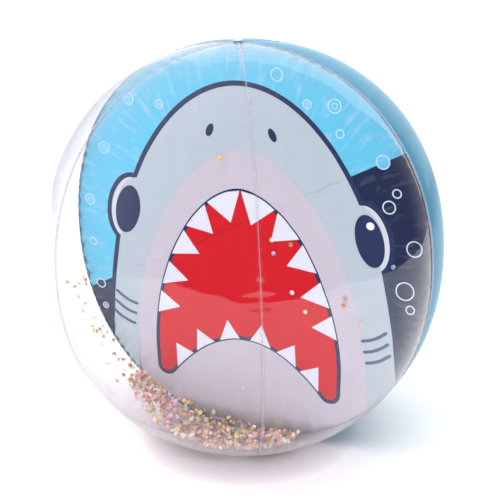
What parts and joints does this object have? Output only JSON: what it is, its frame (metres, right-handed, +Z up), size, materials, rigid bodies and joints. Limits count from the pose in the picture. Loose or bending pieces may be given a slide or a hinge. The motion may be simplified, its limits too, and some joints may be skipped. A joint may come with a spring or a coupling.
{
  "type": "inflatable beach ball",
  "caption": "Inflatable ball of clear and tinted film gores round a flat printed picture sheet, with loose glitter in the clear half and a push-in valve at the back.",
  "frame": {"origin": "centre of the flat under the lower pole, where the ball stands", "axes": "+Z up through both poles; the picture sheet lies in the XZ plane and its printed face looks along -Y"},
  "size_m": [0.3504, 0.35, 0.3699],
  "materials": {
    "clear_film": "clear glossy PVC film",
    "blue_film": "translucent light blue glossy PVC film",
    "picture_print": "printed PVC sheet, satin",
    "weld_button": "welded clear PVC, milky",
    "copper_flakes": "metallised film flakes, copper",
    "gold_flakes": "metallised film flakes, gold",
    "silver_flakes": "metallised film flakes, silver",
    "pink_flakes": "metallised film flakes, pink",
    "purple_flakes": "metallised film flakes, purple",
    "blue_flakes": "metallised film flakes, blue",
    "valve_plastic": "soft moulded PVC, milky clear"
  },
  "bodies": {
    "ball": {"clear_gore_right": "clear_film", "clear_gore_middle": "clear_film", "clear_gore_left": "clear_film", "blue_gore_left": "blue_film", "blue_gore_middle": "blue_film", "blue_gore_right": "blue_film", "picture_sheet": "picture_print", "top_pole_button": "weld_button", "bottom_pole_button": "weld_button", "copper_glitter": "copper_flakes", "gold_glitter": "gold_flakes", "silver_glitter": "silver_flakes", "pink_glitter": "pink_flakes", "purple_glitter": "purple_flakes", "blue_glitter": "blue_flakes", "valve_base": "valve_plastic"},
    "stem": {"valve_stem": "valve_plastic"},
    "plug": {"valve_plug": "valve_plastic"},
    "flap": {"valve_flap": "valve_plastic"}
  },
  "joints": [
    {"name": "stem_slide", "type": "slide", "parent": "ball", "child": "stem", "axis": [0, 0.6725, 0.7401], "range_m": [0, 0.008]},
    {"name": "plug_hinge", "type": "hinge", "parent": "stem", "child": "plug", "pos_m": [0, 0.11467, 0.33133], "axis": [1, 0, 0], "range_deg": [0, 150]},
    {"name": "flap_hinge", "type": "hinge", "parent": "stem", "child": "flap", "pos_m": [0, 0.11307, 0.31232], "axis": [1, 0, 0], "range_deg": [0, 60], "stiffness_Nm_per_rad": 0.00002}
  ]
}
